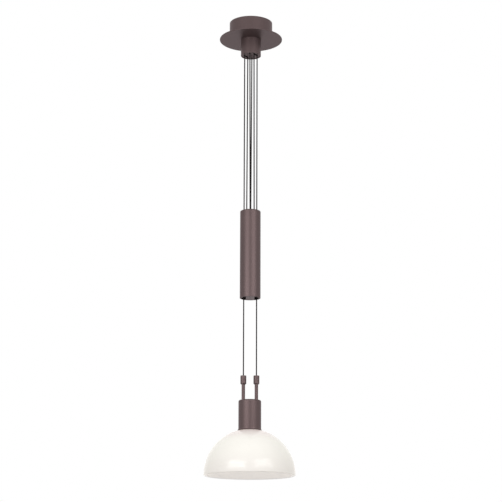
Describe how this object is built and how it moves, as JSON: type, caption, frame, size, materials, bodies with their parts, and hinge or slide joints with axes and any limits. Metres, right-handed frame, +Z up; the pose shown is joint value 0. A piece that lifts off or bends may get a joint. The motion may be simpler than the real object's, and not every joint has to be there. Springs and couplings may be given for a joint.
{
  "type": "rise and fall pendant",
  "caption": "Rise and fall pendant: ceiling rose with pulleys, tubular counterweight on reeved cords, and a lamp head with a half-round opal glass shade.",
  "frame": {"origin": "middle of the rose's mounting face, on the ceiling plane, on the axis of the cable inlet", "axes": "+Z up into the ceiling, +X to the right along the bracket and the two lamp cords, -Y towards the viewer of the picture"},
  "size_m": [0.25, 0.25, 1.3114],
  "materials": {
    "bronze_paint": "satin",
    "plated_steel": "satin",
    "die_cast_zinc": "matte",
    "spring_steel": "satin",
    "brass": "satin",
    "cast_iron": "matte",
    "nylon": "satin",
    "porcelain": "gloss",
    "black_plastic": "satin",
    "black_rubber": "matte",
    "opal_glass": "satin",
    "frosted_bulb": "matte",
    "bulb_metal": "satin",
    "braided_cord": "matte"
  },
  "bodies": {
    "rose": {"ceiling_bracket": "plated_steel", "inlet_grommet": "black_rubber", "canopy_screws": "bronze_paint", "canopy_drum": "bronze_paint", "canopy_flange": "bronze_paint", "flange_nuts": "plated_steel", "pulley_housing": "bronze_paint", "load_plate": "plated_steel", "pulley_block": "die_cast_zinc", "block_screws": "plated_steel", "rose_axle": "plated_steel", "rose_axle_clips": "spring_steel", "cord_ferrules": "brass", "end_plate": "bronze_paint", "end_plate_screw": "bronze_paint", "terminal_block": "porcelain", "terminal_sleeves": "brass", "terminal_screws": "plated_steel", "anchor_tails": "braided_cord", "rose_bends": "braided_cord", "anchor_fall_left": "braided_cord", "anchor_fall_right": "braided_cord", "return_fall_left": "braided_cord", "return_fall_right": "braided_cord"},
    "rose_pulley_left": {"rose_sheave_left": "nylon"},
    "rose_pulley_right": {"rose_sheave_right": "nylon"},
    "counterweight": {"weight_tube": "bronze_paint", "weight_yoke": "die_cast_zinc", "yoke_screws": "plated_steel", "weight_axle": "plated_steel", "weight_axle_clips": "spring_steel", "axle_spacer": "brass", "weight_slug": "cast_iron", "weight_end_cap": "bronze_paint", "end_cap_screws": "bronze_paint", "weight_bends": "braided_cord"},
    "weight_pulley_left": {"weight_sheave_left": "nylon"},
    "weight_pulley_right": {"weight_sheave_right": "nylon"},
    "lamp": {"grip_collets": "brass", "stem_left": "bronze_paint", "stem_right": "bronze_paint", "stem_nuts": "plated_steel", "lamp_cup": "bronze_paint", "holder_bracket": "plated_steel", "holder_nipple": "plated_steel", "nipple_nut": "plated_steel", "lampholder_cap": "black_plastic", "lampholder_body": "black_plastic", "holder_contacts": "brass", "shade_collar": "black_plastic", "shade_ring": "black_plastic", "shade_gasket": "black_rubber", "glass_shade": "opal_glass", "bulb_glass": "frosted_bulb", "bulb_base": "bulb_metal", "lamp_tails": "braided_cord", "lamp_fall_left": "braided_cord", "lamp_fall_right": "braided_cord"},
    "grip_left": {"grip_nut_left": "bronze_paint"},
    "grip_right": {"grip_nut_right": "bronze_paint"}
  },
  "joints": [
    {"name": "weight_rise", "type": "slide", "parent": "rose", "child": "counterweight", "axis": [0, 0, 1], "range_m": [-0.072, 0.465], "deforming": ["anchor_fall_left", "anchor_fall_right", "return_fall_left", "return_fall_right"]},
    {"name": "lamp_rise", "type": "slide", "parent": "rose", "child": "lamp", "axis": [0, 0, 1], "range_m": [-0.93, 0.144], "deforming": ["lamp_fall_left", "lamp_fall_right"]},
    {"name": "rose_pulley_left_turn", "type": "hinge", "parent": "rose", "child": "rose_pulley_left", "pos_m": [-0.0135, 0.00779, -0.0752], "axis": [-0.866, 0.5, 0], "continuous": true},
    {"name": "weight_pulley_left_turn", "type": "hinge", "parent": "counterweight", "child": "weight_pulley_left", "pos_m": [-0.00567, -0.0017, -0.5911], "axis": [-0.9578, -0.2876, 0], "continuous": true},
    {"name": "rose_pulley_right_turn", "type": "hinge", "parent": "rose", "child": "rose_pulley_right", "pos_m": [0.0135, -0.00779, -0.0752], "axis": [0.866, -0.5, 0], "continuous": true},
    {"name": "weight_pulley_right_turn", "type": "hinge", "parent": "counterweight", "child": "weight_pulley_right", "pos_m": [0.00567, 0.0017, -0.5911], "axis": [0.9578, 0.2876, 0], "continuous": true},
    {"name": "grip_left_turn", "type": "hinge", "parent": "lamp", "child": "grip_left", "pos_m": [-0.018, 0, -1.061], "axis": [0, 0, 1], "range_deg": [0, 360]},
    {"name": "grip_right_turn", "type": "hinge", "parent": "lamp", "child": "grip_right", "pos_m": [0.018, 0, -1.061], "axis": [0, 0, 1], "range_deg": [0, 360]}
  ],
  "couplings": [
    {"joint": "lamp_rise", "follows": "weight_rise", "ratio": -2},
    {"joint": "rose_pulley_left_turn", "follows": "weight_rise", "rad_per_m": -222.22},
    {"joint": "weight_pulley_left_turn", "follows": "weight_rise", "rad_per_m": -58.824},
    {"joint": "rose_pulley_right_turn", "follows": "weight_rise", "rad_per_m": -222.22},
    {"joint": "weight_pulley_right_turn", "follows": "weight_rise", "rad_per_m": -58.824}
  ]
}
